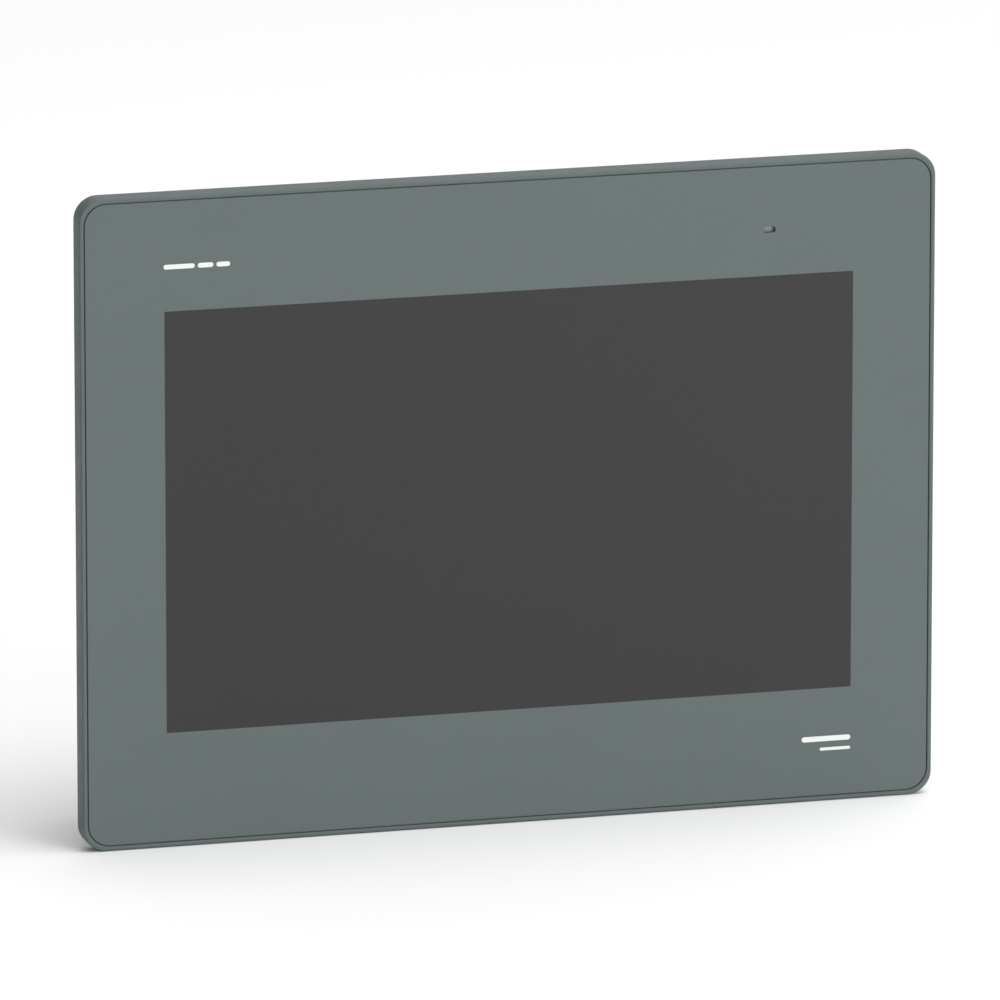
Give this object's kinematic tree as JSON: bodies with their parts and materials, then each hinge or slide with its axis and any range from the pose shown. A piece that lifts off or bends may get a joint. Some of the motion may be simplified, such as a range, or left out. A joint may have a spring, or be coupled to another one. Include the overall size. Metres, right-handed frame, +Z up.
{
  "type": "hmi touch panel",
  "caption": "Flat rectangular operator touch panel for a cabinet door, with fold-out clamps, a stepped rear housing and downward ports.",
  "frame": {"origin": "centre of the door cut-out, in the plane of the door's outer face, where the seal presses on it", "axes": "+X to the right along the front, +Y into the cabinet, +Z up; the screen faces -Y"},
  "size_m": [0.2786, 0.0461, 0.2084],
  "materials": {
    "bezel_plastic": "fine moulded grain, greenish grey",
    "overlay_film": "matte printed film, greenish grey with a dark clear window",
    "screen_glass": "anti-glare dark grey glass",
    "lens_plastic": "milky light grey",
    "housing_plastic": "dark grey, fine moulded grain",
    "seal_rubber": "matte black",
    "plated_steel": "zinc plated sheet",
    "screw_steel": "bright zinc",
    "board_laminate": "green solder resist",
    "black_plastic": "moulded black",
    "green_plastic": "moulded green",
    "aluminium": "satin",
    "amber_film": "amber flexible circuit",
    "diffuser_sheet": "milky white",
    "label_sheet": "blank silver grey label"
  },
  "bodies": {
    "housing": {"backlight_guide": "diffuser_sheet", "battery_holder": "black_plastic", "board_screw_1": "screw_steel", "board_screw_2": "screw_steel", "board_screw_3": "screw_steel", "board_screw_4": "screw_steel", "buzzer": "black_plastic", "card_socket": "plated_steel", "case_screw_1": "screw_steel", "case_screw_2": "screw_steel", "case_screw_3": "screw_steel", "case_screw_4": "screw_steel", "chassis_screw_1": "screw_steel", "chassis_screw_2": "screw_steel", "chassis_screw_3": "screw_steel", "chassis_screw_4": "screw_steel", "display_cable": "amber_film", "display_seal": "seal_rubber", "ethernet_port": "plated_steel", "front_bezel": "bezel_plastic", "front_overlay": "overlay_film", "heat_sink": "aluminium", "lcd_cell": "screen_glass", "lcd_frame": "plated_steel", "lcd_rear_plate": "aluminium", "main_board": "board_laminate", "memory_chip": "black_plastic", "modular_serial_port": "black_plastic", "mounting_gasket": "seal_rubber", "power_inlet": "green_plastic", "processor_chip": "black_plastic", "rating_label": "label_sheet", "rear_housing": "housing_plastic", "serial_port": "plated_steel", "status_light_board": "board_laminate", "status_light_lens": "lens_plastic", "support_chassis": "plated_steel", "touch_flex_tail": "amber_film", "touch_screen": "screen_glass", "usb_device_port": "plated_steel", "usb_host_port": "plated_steel"},
    "clamp_slider_top_left": {"clamp_slider_top_left": "plated_steel"},
    "clamp_claw_top_left": {"clamp_claw_top_left": "plated_steel"},
    "clamp_screw_top_left": {"clamp_screw_top_left": "screw_steel"},
    "clamp_slider_top_right": {"clamp_slider_top_right": "plated_steel"},
    "clamp_claw_top_right": {"clamp_claw_top_right": "plated_steel"},
    "clamp_screw_top_right": {"clamp_screw_top_right": "screw_steel"},
    "clamp_slider_bottom_left": {"clamp_slider_bottom_left": "plated_steel"},
    "clamp_claw_bottom_left": {"clamp_claw_bottom_left": "plated_steel"},
    "clamp_screw_bottom_left": {"clamp_screw_bottom_left": "screw_steel"},
    "clamp_slider_bottom_right": {"clamp_slider_bottom_right": "plated_steel"},
    "clamp_claw_bottom_right": {"clamp_claw_bottom_right": "plated_steel"},
    "clamp_screw_bottom_right": {"clamp_screw_bottom_right": "screw_steel"},
    "power_plug": {"power_plug": "green_plastic"},
    "terminal_screw_1": {"terminal_screw_1": "screw_steel"},
    "terminal_screw_2": {"terminal_screw_2": "screw_steel"},
    "terminal_screw_3": {"terminal_screw_3": "screw_steel"},
    "service_cover": {"service_cover": "housing_plastic"},
    "coin_battery": {"coin_battery": "screw_steel"}
  },
  "joints": [
    {"name": "clamp_travel_top_left", "type": "slide", "parent": "housing", "child": "clamp_slider_top_left", "axis": [0, -1, 0], "range_m": [0, 0.0044]},
    {"name": "clamp_swing_top_left", "type": "hinge", "parent": "clamp_slider_top_left", "child": "clamp_claw_top_left", "pos_m": [-0.052, 0.014, 0.084], "axis": [0, -1, 0], "range_deg": [0, 90]},
    {"name": "clamp_screw_turn_top_left", "type": "hinge", "parent": "clamp_slider_top_left", "child": "clamp_screw_top_left", "pos_m": [-0.052, 0.0181, 0.084], "axis": [0, -1, 0], "range_deg": [0, 2263]},
    {"name": "clamp_travel_top_right", "type": "slide", "parent": "housing", "child": "clamp_slider_top_right", "axis": [0, -1, 0], "range_m": [0, 0.0044]},
    {"name": "clamp_swing_top_right", "type": "hinge", "parent": "clamp_slider_top_right", "child": "clamp_claw_top_right", "pos_m": [0.052, 0.014, 0.084], "axis": [0, -1, 0], "range_deg": [0, 90]},
    {"name": "clamp_screw_turn_top_right", "type": "hinge", "parent": "clamp_slider_top_right", "child": "clamp_screw_top_right", "pos_m": [0.052, 0.0181, 0.084], "axis": [0, -1, 0], "range_deg": [0, 2263]},
    {"name": "clamp_travel_bottom_left", "type": "slide", "parent": "housing", "child": "clamp_slider_bottom_left", "axis": [0, -1, 0], "range_m": [0, 0.0044]},
    {"name": "clamp_swing_bottom_left", "type": "hinge", "parent": "clamp_slider_bottom_left", "child": "clamp_claw_bottom_left", "pos_m": [-0.052, 0.014, -0.084], "axis": [0, -1, 0], "range_deg": [0, 90]},
    {"name": "clamp_screw_turn_bottom_left", "type": "hinge", "parent": "clamp_slider_bottom_left", "child": "clamp_screw_bottom_left", "pos_m": [-0.052, 0.0181, -0.084], "axis": [0, -1, 0], "range_deg": [0, 2263]},
    {"name": "clamp_travel_bottom_right", "type": "slide", "parent": "housing", "child": "clamp_slider_bottom_right", "axis": [0, -1, 0], "range_m": [0, 0.0044]},
    {"name": "clamp_swing_bottom_right", "type": "hinge", "parent": "clamp_slider_bottom_right", "child": "clamp_claw_bottom_right", "pos_m": [0.052, 0.014, -0.084], "axis": [0, -1, 0], "range_deg": [0, 90]},
    {"name": "clamp_screw_turn_bottom_right", "type": "hinge", "parent": "clamp_slider_bottom_right", "child": "clamp_screw_bottom_right", "pos_m": [0.052, 0.0181, -0.084], "axis": [0, -1, 0], "range_deg": [0, 2263]},
    {"name": "power_plug_pull", "type": "slide", "parent": "housing", "child": "power_plug", "axis": [0, 0, -1], "range_m": [0, 0.012]},
    {"name": "terminal_screw_turn_1", "type": "hinge", "parent": "power_plug", "child": "terminal_screw_1", "pos_m": [-0.09008, 0.0277, -0.065], "axis": [0, -1, 0], "range_deg": [-720, 0]},
    {"name": "terminal_screw_turn_2", "type": "hinge", "parent": "power_plug", "child": "terminal_screw_2", "pos_m": [-0.085, 0.0277, -0.065], "axis": [0, -1, 0], "range_deg": [-720, 0]},
    {"name": "terminal_screw_turn_3", "type": "hinge", "parent": "power_plug", "child": "terminal_screw_3", "pos_m": [-0.07992, 0.0277, -0.065], "axis": [0, -1, 0], "range_deg": [-720, 0]},
    {"name": "service_cover_hinge", "type": "hinge", "parent": "housing", "child": "service_cover", "pos_m": [0.072, 0.0364, 0.051], "axis": [1, 0, 0], "range_deg": [0, 105]},
    {"name": "coin_battery_lift", "type": "slide", "parent": "housing", "child": "coin_battery", "axis": [0, 1, 0], "range_m": [0, 0.006]}
  ],
  "couplings": [
    {"joint": "clamp_screw_turn_top_left", "follows": "clamp_travel_top_left", "rad_per_m": 8976},
    {"joint": "clamp_screw_turn_top_right", "follows": "clamp_travel_top_right", "rad_per_m": 8976},
    {"joint": "clamp_screw_turn_bottom_left", "follows": "clamp_travel_bottom_left", "rad_per_m": 8976},
    {"joint": "clamp_screw_turn_bottom_right", "follows": "clamp_travel_bottom_right", "rad_per_m": 8976}
  ]
}
